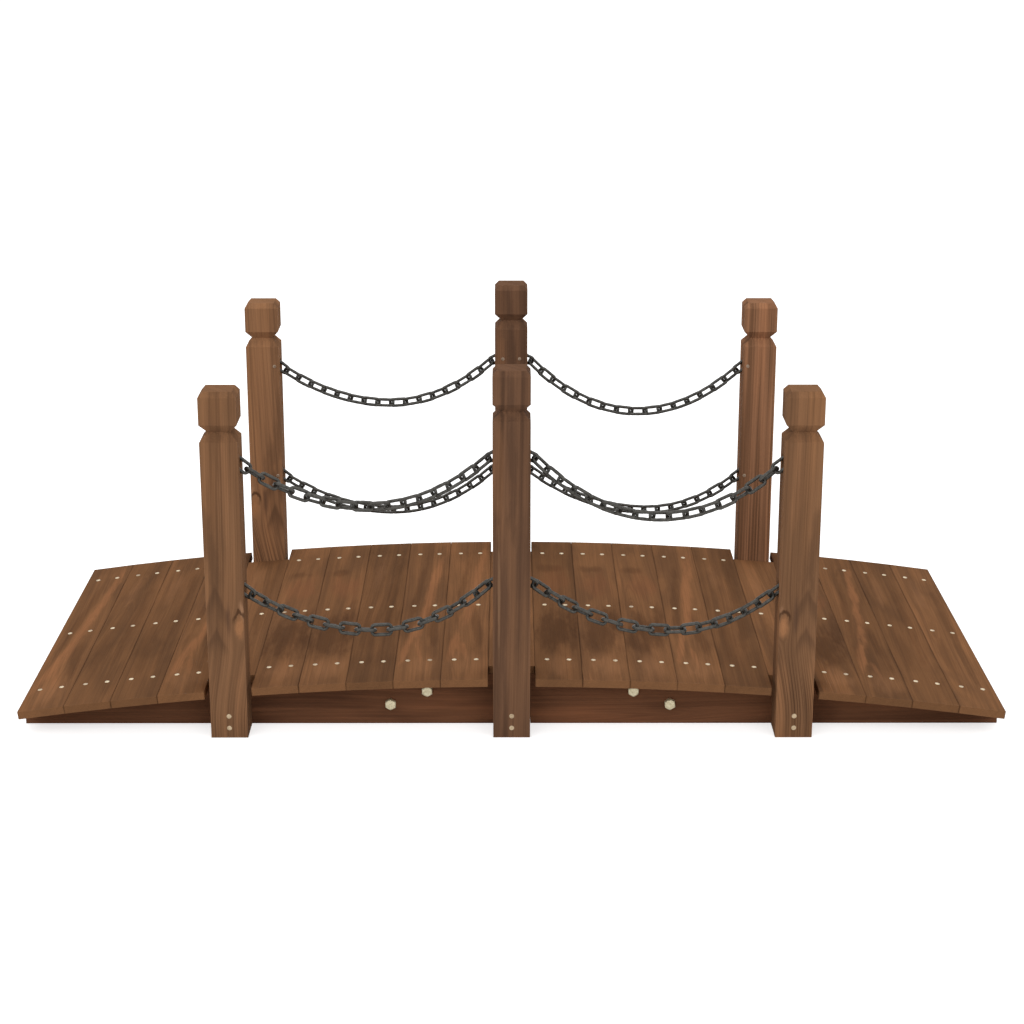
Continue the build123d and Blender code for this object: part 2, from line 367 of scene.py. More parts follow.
def plank_board(name):
    """A deck plank, whose across direction follows the arch."""
    profile = np.unique(np.round([(v.co.x, v.co.z) for v in nodes[name].data.vertices], 6), axis=0)
    _, _, directions = np.linalg.svd(profile - profile.mean(0))
    x, z = directions[0] * np.sign(directions[0][0])
    return Board(name, along=(0, 1, 0), across=(x, 0, z))


# What sets one kind of board apart. A tone is (base, dark, warm) in display values. The pith's place is a
# pair of ranges, across and deep: far out to one side the growth rings show as straight lines. wander is how
# far the grain strays sideways, and lines, streaks, bands and clouds are strengths.
Grain = namedtuple("Grain", "tone pith ring_width wander lines streaks bands clouds patch_run")


def wood(board, seed, grain, marks=(), knots=(), sweep=0.0, joint_shade=0.0, post=False):
    """Stained sawn softwood.

    marks are soft patches at their own places on the board, knots are (across, along) places, and sweep is
    how far the grain leans sideways over the lowest part of a post. A post has marks and knots on its front
    face alone.
    """
    draw = random.Random(seed)
    shader = Shader("wood_" + board.name)
    base, dark, warm = [linear(*c) for c in grain.tone]
    offset = tuple(draw.uniform(-SEED_REACH, SEED_REACH) for _ in range(3))
    pith = [draw.choice((-1, 1)) * draw.uniform(*reach) for reach in grain.pith]
    lean = draw.uniform(-LEAN_REACH, LEAN_REACH)
    lift = draw.uniform(*TONE_LIFT)
    sweep_foot = SWEEP_FOOT - board.centre.z
    sweep_top = SWEEP_TOP - board.centre.z

    centred = shader.vector("SUBTRACT", shader.add("TexCoord", out=3), tuple(board.centre))
    across, deep, along = [shader.vector("DOT_PRODUCT", centred, tuple(r), out=1) for r in board.rotation()]
    local = shader.add("CombineXYZ", X=across, Y=deep, Z=along)
    front = shader.remap(deep, -FIGURE_INNER, -FIGURE_OUTER) if post else 1.0

    # The way the grain runs: leaning, swept sideways near the foot, and parted by knots
    run = shader.math("MULTIPLY_ADD", along, lean, across)
    if sweep:
        rise = shader.remap(along, sweep_foot, sweep_top)
        frontal = shader.remap(facing(shader, board.across), *SIDE_SPAN)
        run = shader.minus(run, shader.times(shader.times(rise, frontal), sweep))
    for knot_across, knot_along in knots:
        run = parted(shader, run, front, across, along, knot_across, knot_along)
    drift = shader.texture(local, DRIFT)
    run = shader.plus(run, shader.math("MULTIPLY_ADD", drift, grain.wander, -grain.wander / 2))
    seeded = shader.vector("ADD", shader.add("CombineXYZ", X=run, Y=deep, Z=along), offset)
    inner = shader.math("MINIMUM", shader.math("MAXIMUM", deep, -SLANT_DEPTH), SLANT_DEPTH)
    slant = shader.add("CombineXYZ", X=shader.math("MULTIPLY_ADD", inner, SLANT, run), Z=along)
    slanted = shader.vector("ADD", slant, offset)

    # Fibres, streaks, long bands, broad stain patches and warm places
    late = late_wood(shader, run, inner, along, lean, pith, grain.ring_width)
    fibre = shader.texture(seeded, FIBRE)
    streak = shader.texture(slanted, STREAK)
    band = shader.texture(slanted, BAND)
    waves = (PATCH_WAVES, PATCH_WAVES, grain.patch_run)
    stain = Texture(waves, PATCH_DETAIL, PATCH_ROUGHNESS, PATCH_DISTORTION)
    patch = shader.texture(seeded, stain)
    colour = shader.tinted(base, dark, patch, PATCH_SPAN, grain.clouds)
    colour = shader.tinted(colour, warm, shader.texture(seeded, GLOW), GLOW_SPAN, GLOW_SHARE)
    colour = shader.tinted(colour, dark, band, BAND_SPAN, grain.bands)
    colour = shader.tinted(colour, dark, streak, STREAK_SPAN, grain.streaks)
    colour = shader.tinted(colour, warm, streak, LIGHT_STREAK_SPAN, grain.streaks * LIGHT_STREAK_SHARE)
    for mark in marks:
        colour = soft_mark(shader, colour, front, seeded, across, along, *mark)

    # Growth lines, fine grit, and the figure of the end posts
    fade = shader.texture(seeded, FADE)
    strength = shader.times(shader.remap(fade, *FADE_SPAN, FADE_LOWEST, 1.0), grain.lines)
    if sweep:
        strength = shader.times(strength, shader.remap(along, sweep_top, sweep_foot, *SWEPT_LINES))
        foot, top = [height - board.centre.z for height in CHEVRON_HEIGHTS]
        axis = -math.copysign(CHEVRON_AXIS, sweep)
        colour = chevrons(shader, colour, front, seeded, across, along, axis, foot, top)
    colour = shader.mix(shader.times(late, strength), colour, dark)
    grit = shader.remap(fibre, *GRIT_SPAN, GRIT[0] * lift, GRIT[1] * lift, smooth=False)
    colour = shader.add("VectorMath", props={"operation": "SCALE"}, i0=colour, Scale=grit)
    for knot_across, knot_along in knots:
        colour = knot_colour(shader, colour, front, local, knot_across, knot_along)

    # Paler arrises (wear and a painted highlight), end grain without figure, and the joints darkened by dirt
    # and painted shade
    edge = edge_distance(shader, across, deep, along, board)
    # Paler arrises: partly wear, partly a painted highlight along the eased edges
    worn_and_highlit = shader.remap(edge, *ARRIS_SPAN, 0.0, POST_ARRIS_HIGHLIGHT_SHARE if post else ARRIS_HIGHLIGHT_SHARE)
    colour = shader.mix(worn_and_highlit, colour, linear(*ARRIS_HIGHLIGHT_COLOUR))
    end = shader.remap(facing(shader, board.along), *END_SPAN)
    pores = shader.texture(seeded, PORES)
    sawn = shader.mix(shader.remap(pores, *PORE_SPAN, 0.0, PORE_SHARE), base, dark)
    colour = shader.mix(shader.times(end, END_SHARE), colour, sawn)
    # Painted shade in the gaps between deck boards, with dirt: each board's long edges are darkened
    if joint_shade:
        side = shader.minus(float(board.half[0]), shader.math("ABSOLUTE", across))
        dirt_and_shade = shader.remap(patch, *DIRT_AND_SHADE_SPAN, joint_shade * DIRT_AND_SHADE_LOWEST, joint_shade)
        colour = shader.tinted(colour, linear(*DIRT_AND_SHADE_COLOUR), side, JOINT_SPAN, dirt_and_shade)
    shader.surface_link("Base Color", colour)
    rough = shader.remap(fibre, *ROUGHNESS_SPAN, *WOOD_ROUGHNESS, smooth=False)
    shader.surface_link("Roughness", rough)
    shader.surface.inputs["Specular IOR Level"].default_value = WOOD_SPECULAR
    height = shader.math("MULTIPLY_ADD", late, LATE_WOOD_DEPTH, fibre)
    shader.relief(height, GRAIN_RELIEF, RELIEF_STRENGTH)
    return shader.material


def facing(shader, direction):
    """How squarely the surface faces a direction or its opposite."""
    normal = shader.add("NewGeometry", out=1)
    return shader.math("ABSOLUTE", shader.vector("DOT_PRODUCT", normal, tuple(direction), out=1))


def parted(shader, run, front, across, along, knot_across, knot_along):
    """The grain's sideways place, flowing round a knot as water flows round a stone."""
    aside = shader.minus(across, knot_across)
    above = shader.times(shader.minus(along, knot_along), KNOT_SQUEEZE)
    square = shader.plus(shader.times(aside, aside), shader.times(above, above))
    share = shader.math("DIVIDE", KNOT_RADIUS**2, shader.math("MAXIMUM", square, KNOT_RADIUS**2))
    return shader.minus(run, shader.times(aside, shader.times(share, front)))


def late_wood(shader, run, inner, along, lean, pith, ring_width):
    """The dark late wood of the growth rings round the pith, unevenly spaced."""
    ring_x = shader.minus(run, pith[0])
    ring_y = shader.plus(inner, shader.math("MULTIPLY_ADD", along, lean, -pith[1]))
    radius = shader.math("SQRT", shader.plus(shader.times(ring_x, ring_x), shader.times(ring_y, ring_y)))
    year = shader.add("TexNoise", props={"noise_dimensions": "1D"}, W=shader.times(radius, YEAR_WAVES),
                      Detail=1.0)
    phase = shader.plus(shader.math("DIVIDE", radius, ring_width), shader.times(year, YEAR_SHIFT))
    ring = shader.math("FRACT", phase)
    return shader.times(shader.remap(ring, *RING_RISE), shader.remap(ring, *RING_FALL))


def chevrons(shader, colour, front, seeded, across, along, axis, foot, top):
    """Nested inverted Vs, where the saw cut across the growth rings beside a knot."""
    aside = shader.math("ABSOLUTE", shader.minus(across, axis))
    wander = shader.texture(seeded, CHEVRON_DRIFT)
    wandered = shader.math("MULTIPLY_ADD", wander, CHEVRON_WANDER, along)
    climb = shader.math("MULTIPLY_ADD", aside, CHEVRON_SLOPE, wandered)
    ring = shader.math("FRACT", shader.math("DIVIDE", shader.minus(climb, top), CHEVRON_PITCH))
    line = shader.times(shader.remap(ring, *CHEVRON_RISE), shader.remap(ring, *CHEVRON_FALL))
    above, below = CHEVRON_FADE_OUT
    window = shader.times(shader.remap(along, foot, foot + CHEVRON_FADE_IN),
                          shader.remap(climb, top + above, top - below))
    window = shader.times(window, shader.remap(aside, *CHEVRON_HALF_WIDTH))
    window = shader.times(window, front)
    factor = shader.times(shader.times(line, window), CHEVRON_SHARE)
    return shader.mix(factor, colour, linear(*CHEVRON_COLOUR))


def edge_distance(shader, across, deep, along, board):
    """Distance from the nearest arris of a board: the middle one of its three distances to the faces."""
    gaps = [shader.minus(half, shader.math("ABSOLUTE", value))
            for half, value in zip(board.half.tolist(), (across, deep, along))]
    low = shader.math("MINIMUM", gaps[0], gaps[1])
    high = shader.math("MAXIMUM", gaps[0], gaps[1])
    return shader.math("MAXIMUM", low, shader.math("MINIMUM", high, gaps[2]))


def soft_mark(shader, colour, front, seeded, across, along, at_across, at_along, half_across, half_along,
              lean, strength, tint):
    """A smoky or pale patch: a leaning ellipse with a wandering edge."""
    down = shader.minus(along, at_along)
    sideways = shader.minus(across, shader.math("MULTIPLY_ADD", down, lean, at_across))
    wander = shader.texture(seeded, MARK_EDGE)
    x = shader.math("DIVIDE", sideways, half_across)
    y = shader.math("DIVIDE", down, half_along)
    reach = shader.math("SQRT", shader.plus(shader.times(x, x), shader.times(y, y)))
    reach = shader.plus(reach, shader.math("MULTIPLY_ADD", wander, MARK_WANDER, -MARK_WANDER / 2))
    factor = shader.times(shader.remap(reach, *MARK_FADE, 0.0, strength), front)
    return shader.mix(factor, colour, linear(*tint))


def knot_colour(shader, colour, front, local, knot_across, knot_along):
    """Paints a knot: an orange heart, and a dark arch of bark over its upper side."""
    moved = shader.vector("SUBTRACT", local, (knot_across, 0.0, knot_along))
    away = shader.stretch(moved, 1.0, KNOT_DEPTH_SQUEEZE, KNOT_SQUEEZE)
    wobble = shader.texture(local, KNOT_EDGE)
    reach = shader.add("VectorMath", out=1, props={"operation": "LENGTH"}, i0=away)
    reach = shader.plus(reach, shader.math("MULTIPLY_ADD", wobble, KNOT_WOBBLE, -KNOT_WOBBLE / 2))
    heart, rim_in, rim_out = [shader.remap(reach, *(KNOT_RADIUS * share for share in span))
                              for span in (KNOT_HEART, KNOT_RIM_INNER, KNOT_RIM_OUTER)]
    heart = shader.times(heart, front)
    rings = shader.math("FRACT", shader.times(reach, KNOT_RINGS))
    height = shader.add("SeparateXYZ", out=2, Vector=away)
    upper = shader.times(shader.remap(height, *KNOT_UPPER), front)
    colour = shader.mix(shader.times(heart, KNOT_HEART_SHARE), colour, linear(*KNOT_HEART_COLOUR))
    faint = shader.times(shader.times(rings, heart), KNOT_RING_SHARE)
    colour = shader.mix(faint, colour, linear(*KNOT_RING_COLOUR))
    bark = shader.times(shader.times(shader.times(rim_in, rim_out), upper), KNOT_RIM_SHARE)
    return shader.mix(bark, colour, linear(*KNOT_RIM_COLOUR))


Coat = namedtuple("Coat", "name colour dull roughness metallic speckle tarnish")


def metal(coat):
    """Coated steel: a mottled coat with duller and tarnished patches, and fine pitting."""
    shader = Shader(coat.name)
    place = shader.add("TexCoord", out=3)
    cloud = shader.noise(place, CLOUD_SCALE, detail=3.0, roughness=0.6)
    fine = shader.noise(place, coat.speckle, detail=2.0, roughness=0.6)
    tone = shader.mix(shader.remap(cloud, *CLOUD_SPAN), linear(*coat.colour), linear(*coat.dull))
    if coat.tarnish:
        where = shader.noise(place, TARNISH_SCALE, detail=1.0)
        tone = shader.mix(shader.remap(where, *TARNISH_SPAN, 0.0, coat.tarnish), tone, linear(*TARNISH))
    shader.surface_link("Base Color", tone)
    rough = shader.remap(fine, *PITTING_SPAN, coat.roughness - COAT_SMOOTHER, coat.roughness + COAT_ROUGHER,
                         smooth=False)
    shader.surface_link("Roughness", rough)
    shader.surface.inputs["Metallic"].default_value = coat.metallic
    shader.relief(fine, PITTING_DEPTH, PITTING_STRENGTH)
    return shader.material


def dress(name, material, easing=EASED_EDGE):
    """Gives a CAD node its material and eases its sawn edges."""
    piece = nodes[name]
    piece.data.materials.clear()
    piece.data.materials.append(material)
    weld = piece.modifiers.new("join", "WELD")
    weld.merge_threshold = WELD_DISTANCE
    bevel = piece.modifiers.new("eased", "BEVEL")
    bevel.width = easing
    bevel.segments = EASED_SEGMENTS
    bevel.limit_method = "ANGLE"
    bevel.angle_limit = EASED_ANGLE


def new_piece(name, vertices, faces, material, replaced=()):
    """Makes one smooth-shaded mesh piece that rides with the bridge."""
    mesh = bpy.data.meshes.new(name)
    mesh.from_pydata([tuple(v) for v in vertices], [], faces)
    mesh.materials.append(material)
    mesh.validate()
    mesh.polygons.foreach_set("use_smooth", [True] * len(mesh.polygons))
    piece = bpy.data.objects.new(name, mesh)
    bpy.context.scene.collection.objects.link(piece)
    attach(piece, "root")
    if replaced:
        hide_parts(*replaced)


def solids_of(name):
    """The separate solids of a CAD node, each as an array of its corner points in the mesh's own order."""
    joined = bmesh.new()
    joined.from_mesh(nodes[name].data)
    bmesh.ops.remove_doubles(joined, verts=joined.verts, dist=WELD_DISTANCE)
    joined.verts.index_update()
    left = set(joined.verts)
    groups = []
    while left:
        start = min(left, key=lambda v: v.index)
        reached, queue = {start}, [start]
        while queue:
            for edge in queue.pop().link_edges:
                for vertex in edge.verts:
                    if vertex not in reached:
                        reached.add(vertex)
                        queue.append(vertex)
        left -= reached
        groups.append(np.array([v.co for v in sorted(reached, key=lambda v: v.index)]))
    joined.free()
    return sorted(groups, key=lambda g: tuple(np.round(g.mean(0), 5)))


def append_copy(vertices, faces, points, quads):
    """Adds one more copy of a shape to a mesh's points and faces."""
    start = len(vertices)
    vertices.extend(points)
    faces.extend(tuple(start + index for index in quad) for quad in quads)


def link_centreline(half_run):
    """Points and outward directions round a link's wire, as (along, wide)."""
    corner_x = half_run - LINK_CORNER_RADIUS
    corner_y = LINK_HALF_WIDTH - LINK_CORNER_RADIUS
    path = []
    for quarter, (sign_x, sign_y) in enumerate(((1, 1), (-1, 1), (-1, -1), (1, -1))):
        for step in range(CORNER_STEPS + 1):
            angle = math.radians(90) * (quarter + step / CORNER_STEPS)
            out = (math.cos(angle), math.sin(angle))
            path.append((sign_x * corner_x + LINK_CORNER_RADIUS * out[0],
                         sign_y * corner_y + LINK_CORNER_RADIUS * out[1], out))
        if quarter % 2 == 0:
            for step in range(1, SIDE_STEPS):
                share = 1 - 2 * step / SIDE_STEPS
                path.append((sign_x * corner_x * share, sign_y * LINK_HALF_WIDTH, (0.0, float(sign_y))))
    return path


def link_mesh(half_run):
    """One welded link in its own frame: (along, wide, through) points, and its quads."""
    points, faces = [], []
    path = link_centreline(half_run)
    for x, y, (out_x, out_y) in path:
        swell = WELD_SWELL * math.exp(-((x / WELD_REACH) ** 2)) if y > 0 else 0.0
        radius = WIRE_RADIUS * (1 + swell)
        for side in range(WIRE_SIDES):
            turn = 2 * math.pi * side / WIRE_SIDES
            lift = radius * math.cos(turn)
            points.append((x + out_x * lift, y + out_y * lift, radius * math.sin(turn)))
    rings = len(path)
    for ring in range(rings):
        following = (ring + 1) % rings
        for side in range(WIRE_SIDES):
            across = (side + 1) % WIRE_SIDES
            faces.append((ring * WIRE_SIDES + side, ring * WIRE_SIDES + across,
                          following * WIRE_SIDES + across, following * WIRE_SIDES + side))
    return np.array(points), faces


def chain_piece(name, material):
    """Round-wire links in place of a CAD chain, each on the plane of the link it stands for."""
    vertices, faces = [], []
    for solid in solids_of(name):
        centre = solid.mean(0)
        _, _, axes = np.linalg.svd(solid - centre)
        if np.linalg.det(axes) < 0:
            axes[2] = -axes[2]
        half_run = np.abs((solid - centre) @ axes[0]).max() - SOLID_WIRE_RADIUS
        points, quads = link_mesh(half_run)
        append_copy(vertices, faces, points @ axes + centre, quads)
    new_piece(name + "_links", vertices, faces, material, [name])


def screw_head(radius, rise):
    """A low domed head with a cross recess, in its own frame: z out of the surface."""
    points, faces = [], []
    circle = [(math.cos(2 * math.pi * s / HEAD_STEPS), math.sin(2 * math.pi * s / HEAD_STEPS))
              for s in range(HEAD_STEPS)]
    for share in HEAD_RINGS:
        for cosine, sine in circle:
            x, y = share * cosine, share * sine
            in_recess = min(abs(x), abs(y)) < RECESS_HALF_WIDTH and max(abs(x), abs(y)) < RECESS_REACH
            height = math.sqrt(max(0.0, 1 - share**2)) * (1 - HEAD_RIM) + HEAD_RIM
            height -= RECESS_DEPTH * (1 - share) if in_recess else 0.0
            points.append((radius * x, radius * y, rise * height))
    points.extend((radius * cosine, radius * sine, 0.0) for cosine, sine in circle)
    for ring in range(len(HEAD_RINGS)):
        for step in range(HEAD_STEPS):
            following = (step + 1) % HEAD_STEPS
            faces.append((ring * HEAD_STEPS + step, (ring + 1) * HEAD_STEPS + step,
                          (ring + 1) * HEAD_STEPS + following, ring * HEAD_STEPS + following))
    return np.array(points), faces


def turned(points, out, spin):
    """Points of a head's own frame, turned so that its z looks along out, spun by an angle."""
    look = Vector(out).normalized().to_track_quat("Z", "Y").to_matrix()
    matrix = np.array(look @ Matrix.Rotation(spin, 3, "Z"))
    return points @ matrix.T


def heads_piece(name, places, radius, rise, material, replaced=()):
    """One mesh of screw heads. Each place is (point on the surface, outward direction)."""
    draw = random.Random(len(places) * 7 + 3)
    shape, quads = screw_head(radius, rise)
    vertices, faces = [], []
    for point, out in places:
        spun = turned(shape, out, draw.uniform(0, math.pi / 2))
        sunk = np.array(point) - np.array(Vector(out).normalized()) * rise * HEAD_SINK
        append_copy(vertices, faces, spun + sunk, quads)
    new_piece(name, vertices, faces, material, replaced)


def hexagon_head(width, height, bore):
    """A chamfered hexagon standing on z = 0, open on top inside the bore."""
    flat = width / 2
    crown = flat * BOLT_CROWN
    sixth = math.pi / 3
    points, faces = [], []
    levels = [[], [], [], []]
    for step in range(BOLT_STEPS):
        angle = 2 * math.pi * step / BOLT_STEPS
        edge = flat / math.cos((angle + sixth / 2) % sixth - sixth / 2)
        drop = (edge - crown) * math.tan(BOLT_CHAMFER)
        outline = ((edge, 0.0), (edge, height - drop), (crown, height), (bore, height))
        for level, (radius, z) in zip(levels, outline):
            level.append(len(points))
            points.append((radius * math.cos(angle), radius * math.sin(angle), z))
    for low, high in zip(levels, levels[1:]):
        for step in range(BOLT_STEPS):
            following = (step + 1) % BOLT_STEPS
            faces.append((low[step], low[following], high[following], high[step]))
    return np.array(points), faces


def cap_mesh(radius, height):
    """A dished disc that closes a bolt head's or shank's end."""
    points = [(0.0, 0.0, height - BOLT_DISH)]
    for step in range(BOLT_STEPS):
        angle = 2 * math.pi * step / BOLT_STEPS
        points.append((radius * math.cos(angle), radius * math.sin(angle), height))
    return np.array(points), [(0, 1 + s, 1 + (s + 1) % BOLT_STEPS) for s in range(BOLT_STEPS)]


def bolts_piece(material):
    """Hexagon bolts and nuts in place of the CAD ones."""
    vertices, faces = [], []
    rear_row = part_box("beam_rear_left")[0].y
    for solid in solids_of("splice_bolts"):
        low, high = solid.min(0), solid.max(0)
        x, z = (low[0] + high[0]) / 2, (low[2] + high[2]) / 2
        width = min(high[0] - low[0], high[2] - low[2])
        head_is_rear = low[1] > rear_row - REAR_BOLT_REACH
        out = 1 if head_is_rear else -1
        head_end = high[1] if head_is_rear else low[1]
        nut_end = low[1] if head_is_rear else high[1]
        depths = np.unique(np.round(solid[:, 1], 5))
        head_face = depths[-2] if head_is_rear else depths[1]
        spin = random.Random(round(x * MM_IN_METRE)).uniform(-BOLT_SPIN, BOLT_SPIN)
        for end, height, direction, bore in (
            (head_face, abs(head_end - head_face), out, BOLT_DISH_WIDTH * width / 2),
            (nut_end + out * NUT_HEIGHT, NUT_HEIGHT, -out, SHANK_RADIUS),
        ):
            for points, quads in (hexagon_head(width, height, bore), cap_mesh(bore, height)):
                placed = turned(points, (0, direction, 0), spin) + np.array((x, end, z))
                append_copy(vertices, faces, placed, quads)
    new_piece("splice_bolt_heads", vertices, faces, material, ["splice_bolts"])


# Timber
# DECK_GRAIN's tone is darker than END_GRAIN's as painted shade: it stands for a light from the front, under
# which top faces look darker than front faces
DECK_GRAIN = Grain(
    tone=((129, 90, 60), (96, 68, 48), (146, 101, 67)), pith=((0.000, 0.024), (0.020, 0.060)),
    ring_width=8.0 * MM, wander=0.020, lines=0.26, streaks=0.30, bands=0.40, clouds=0.50, patch_run=5.5)
END_GRAIN = Grain(
    tone=((139, 101, 72), (88, 63, 46), (150, 107, 74)), pith=((0.055, 0.085), (0.030, 0.060)),
    ring_width=3.4 * MM, wander=0.004, lines=0.80, streaks=0.45, bands=0.35, clouds=0.30, patch_run=2.5)
STRIPED_GRAIN = Grain(
    tone=((154, 111, 82), (96, 68, 49), (168, 117, 84)), pith=((0.060, 0.090), (0.030, 0.050)),
    ring_width=4.6 * MM, wander=0.002, lines=0.80, streaks=0.80, bands=0.65, clouds=0.20, patch_run=1.0)
CENTRE_GRAIN = Grain(
    tone=((116, 84, 63), (84, 61, 47), (126, 91, 66)), pith=((0.060, 0.090), (0.030, 0.060)),
    ring_width=7.0 * MM, wander=0.004, lines=0.30, streaks=0.35, bands=0.80, clouds=0.35, patch_run=1.0)
BEAM_GRAIN = Grain(
    tone=((117, 78, 55), (82, 54, 39), (134, 87, 60)), pith=((0.000, 0.020), (0.030, 0.070)),
    ring_width=6.0 * MM, wander=0.020, lines=0.35, streaks=0.40, bands=0.40, clouds=0.70, patch_run=5.5)

# Figure of the deck boards. Each kind lists marks: (across and along place, half sizes, lean, strength,
# colour). The front end of a board is at the negative end of its length.
SMOKE = (74, 49, 33)
PALE = (154, 109, 76)
FLAME = (160, 108, 72)
RUST = (136, 86, 58)
FIGURES = {
    "smoky": (
        (0.000, -0.130, 0.044, 0.110, 0.05, 0.62, SMOKE),
        (0.026, -0.060, 0.014, 0.090, 0.00, 0.45, SMOKE),
        (-0.006, 0.185, 0.022, 0.022, 0.0, 0.38, SMOKE),
        (0.004, 0.110, 0.030, 0.080, 0.0, 0.32, RUST),
        (0.002, -0.265, 0.030, 0.050, 0.0, 0.35, PALE),
    ),
    "flame": (
        (0.008, 0.060, 0.010, 0.260, 0.07, 0.60, FLAME),
        (-0.018, -0.170, 0.008, 0.100, 0.12, 0.55, FLAME),
        (-0.002, -0.215, 0.005, 0.050, -0.10, 0.40, FLAME),
        (-0.012, 0.060, 0.008, 0.240, 0.06, 0.35, SMOKE),
        (0.016, -0.120, 0.012, 0.110, -0.05, 0.40, SMOKE),
        (0.000, -0.270, 0.030, 0.050, 0.0, 0.30, PALE),
    ),
    "plain": (
        (0.016, 0.020, 0.010, 0.260, 0.02, 0.30, SMOKE),
        (-0.014, -0.120, 0.014, 0.130, -0.02, 0.25, SMOKE),
        (-0.010, 0.170, 0.012, 0.090, 0.03, 0.25, PALE),
    ),
}
FIGURE_OF_BOARD = {6: "smoky", 7: "smoky", 12: "smoky", 13: "smoky", 14: "smoky", 18: "smoky",
                   1: "flame", 4: "flame", 9: "flame", 10: "flame", 15: "flame", 19: "flame"}
DARKER_BOARDS = (2, 3, 8, 12, 16, 18, 19, 20)
DARKER_TONE = 0.93
FIRST_PLANK_SEED = 100
SPLICE_SEED = 77

# Marks on the posts: as above, with heights over the floor. Those of the end posts are drawn for the front
# left one, and the front right and rear left ones have their mirror picture.
DUSKY = (96, 70, 52)
VIOLET = (92, 67, 53)
GREYISH = (84, 62, 49)
POST_MARKS = (
    (-0.022, 0.310, 0.016, 0.125, -0.17, 0.55, DUSKY),
    (-0.016, 0.185, 0.014, 0.085, 0.0, 0.35, DUSKY),
    (0.004, 0.192, 0.0055, 0.036, 0.0, 0.65, VIOLET),
    (0.025, 0.204, 0.004, 0.016, -0.10, 0.60, (176, 134, 102)),
    (0.018, 0.060, 0.012, 0.080, 0.0, 0.35, PALE),
    (0.008, 0.420, 0.012, 0.120, 0.0, 0.25, PALE),
)
CENTRE_MARKS = (
    (0.001, 0.450, 0.009, 0.170, -0.02, 0.60, GREYISH),
    (-0.013, 0.180, 0.009, 0.170, 0.03, 0.50, GREYISH),
    (0.014, 0.260, 0.010, 0.150, 0.02, 0.40, GREYISH),
    (-0.018, 0.420, 0.008, 0.130, 0.00, 0.30, PALE),
    (-0.019, 0.230, 0.0024, 0.120, 0.00, 0.38, (166, 128, 96)),
)
REAR_LIFT = 1.09
KNOT_ACROSS = 0.021
KNOT_HEIGHT = 0.178
GRAIN_SWEEP = 0.020


def with_tone(grain, factor):
    """The same grain, lighter or darker."""
    return grain._replace(tone=[[channel * factor for channel in colour] for colour in grain.tone])


def nodes_named(prefix):
    return sorted(n for n in nodes if n.startswith(prefix))


planks = [plank_board(name) for name in nodes_named("plank_")]
for number, board in enumerate(planks, 1):
    grain = with_tone(DECK_GRAIN, DARKER_TONE if number in DARKER_BOARDS else 1.0)
    marks = FIGURES[FIGURE_OF_BOARD.get(number, "plain")]
    timber = wood(board, FIRST_PLANK_SEED + number, grain, marks=marks, joint_shade=JOINT_SHADE)
    dress(board.name, timber, PLANK_EDGE)

for name in nodes_named("post_"):
    board = Board(name, along=(0, 0, 1), across=(1, 0, 0))
    seed = sum(map(ord, name))
    if name.endswith("centre"):
        marks = [(m[0], m[1] - board.centre.z, *m[2:]) for m in CENTRE_MARKS]
        dress(name, wood(board, seed, CENTRE_GRAIN, marks=marks, post=True))
        continue
    if name == "post_rear_right":
        dress(name, wood(board, seed, STRIPED_GRAIN, post=True))
        continue
    hand = 1 if name == "post_front_left" else -1
    marks = [(hand * m[0], m[1] - board.centre.z, m[2], m[3], hand * m[4], m[5], m[6]) for m in POST_MARKS]
    knots = [(hand * KNOT_ACROSS, KNOT_HEIGHT - board.centre.z)]
    grain = with_tone(END_GRAIN, REAR_LIFT if name == "post_rear_left" else 1.0)
    dress(name, wood(board, seed, grain, marks, knots, hand * GRAIN_SWEEP, post=True))

for name in nodes_named("beam_"):
    board = Board(name, along=(1, 0, 0), across=(0, 0, 1))
    dress(name, wood(board, sum(map(ord, name)), BEAM_GRAIN))
splices = Board("splice_plates", along=(1, 0, 0), across=(0, 0, 1))
dress("splice_plates", wood(splices, SPLICE_SEED, BEAM_GRAIN))

# Ironwork
chain_steel = metal(Coat("chain_steel", colour=(70, 68, 63), dull=(48, 46, 42), roughness=0.42,
                         metallic=0.45, speckle=1400.0, tarnish=0.0))
zinc = metal(Coat("zinc_plating", colour=(214, 204, 172), dull=(190, 178, 144), roughness=0.34,
                  metallic=0.45, speckle=900.0, tarnish=0.0))
screw_zinc = metal(Coat("screw_zinc", colour=(228, 212, 182), dull=(204, 184, 150), roughness=0.36,
                        metallic=0.35, speckle=900.0, tarnish=0.65))
dull_zinc = metal(Coat("dull_zinc", colour=(196, 174, 142), dull=(166, 144, 114), roughness=0.45,
                       metallic=0.30, speckle=900.0, tarnish=0.3))
grey_zinc = metal(Coat("grey_zinc", colour=(156, 134, 114), dull=(128, 108, 90), roughness=0.50,
                       metallic=0.25, speckle=900.0, tarnish=0.3))
for name in nodes_named("chain_"):
    if name != "chain_screws":
        chain_piece(name, chain_steel)

deck_places = []
for number, board in enumerate(planks, 1):
    up = board.across.cross(Vector((0, 1, 0)))
    up = up if up.z > 0 else -up
    for row in (MIDDLE_SCREW_ROW,) if number in SHORT_PLANKS else SCREW_ROWS:
        for side in (-1, 1):
            point = board.centre + board.across * side * DECK_SCREW_SPREAD
            point = point + up * float(board.half[1])
            deck_places.append(((point.x, row, point.z), tuple(up)))
heads_piece("deck_screws", deck_places, HEAD_RADIUS, HEAD_RISE, screw_zinc)

post_places = []
for name in nodes_named("post_"):
    low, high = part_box(name)
    out = -1 if low.y < 0 else 1
    face = low.y if out < 0 else high.y
    for height in POST_SCREW_HEIGHTS:
        post_places.append((((low.x + high.x) / 2, face, height), (0, out, 0)))
heads_piece("post_screws", post_places, HEAD_RADIUS, POST_HEAD_RISE, dull_zinc)

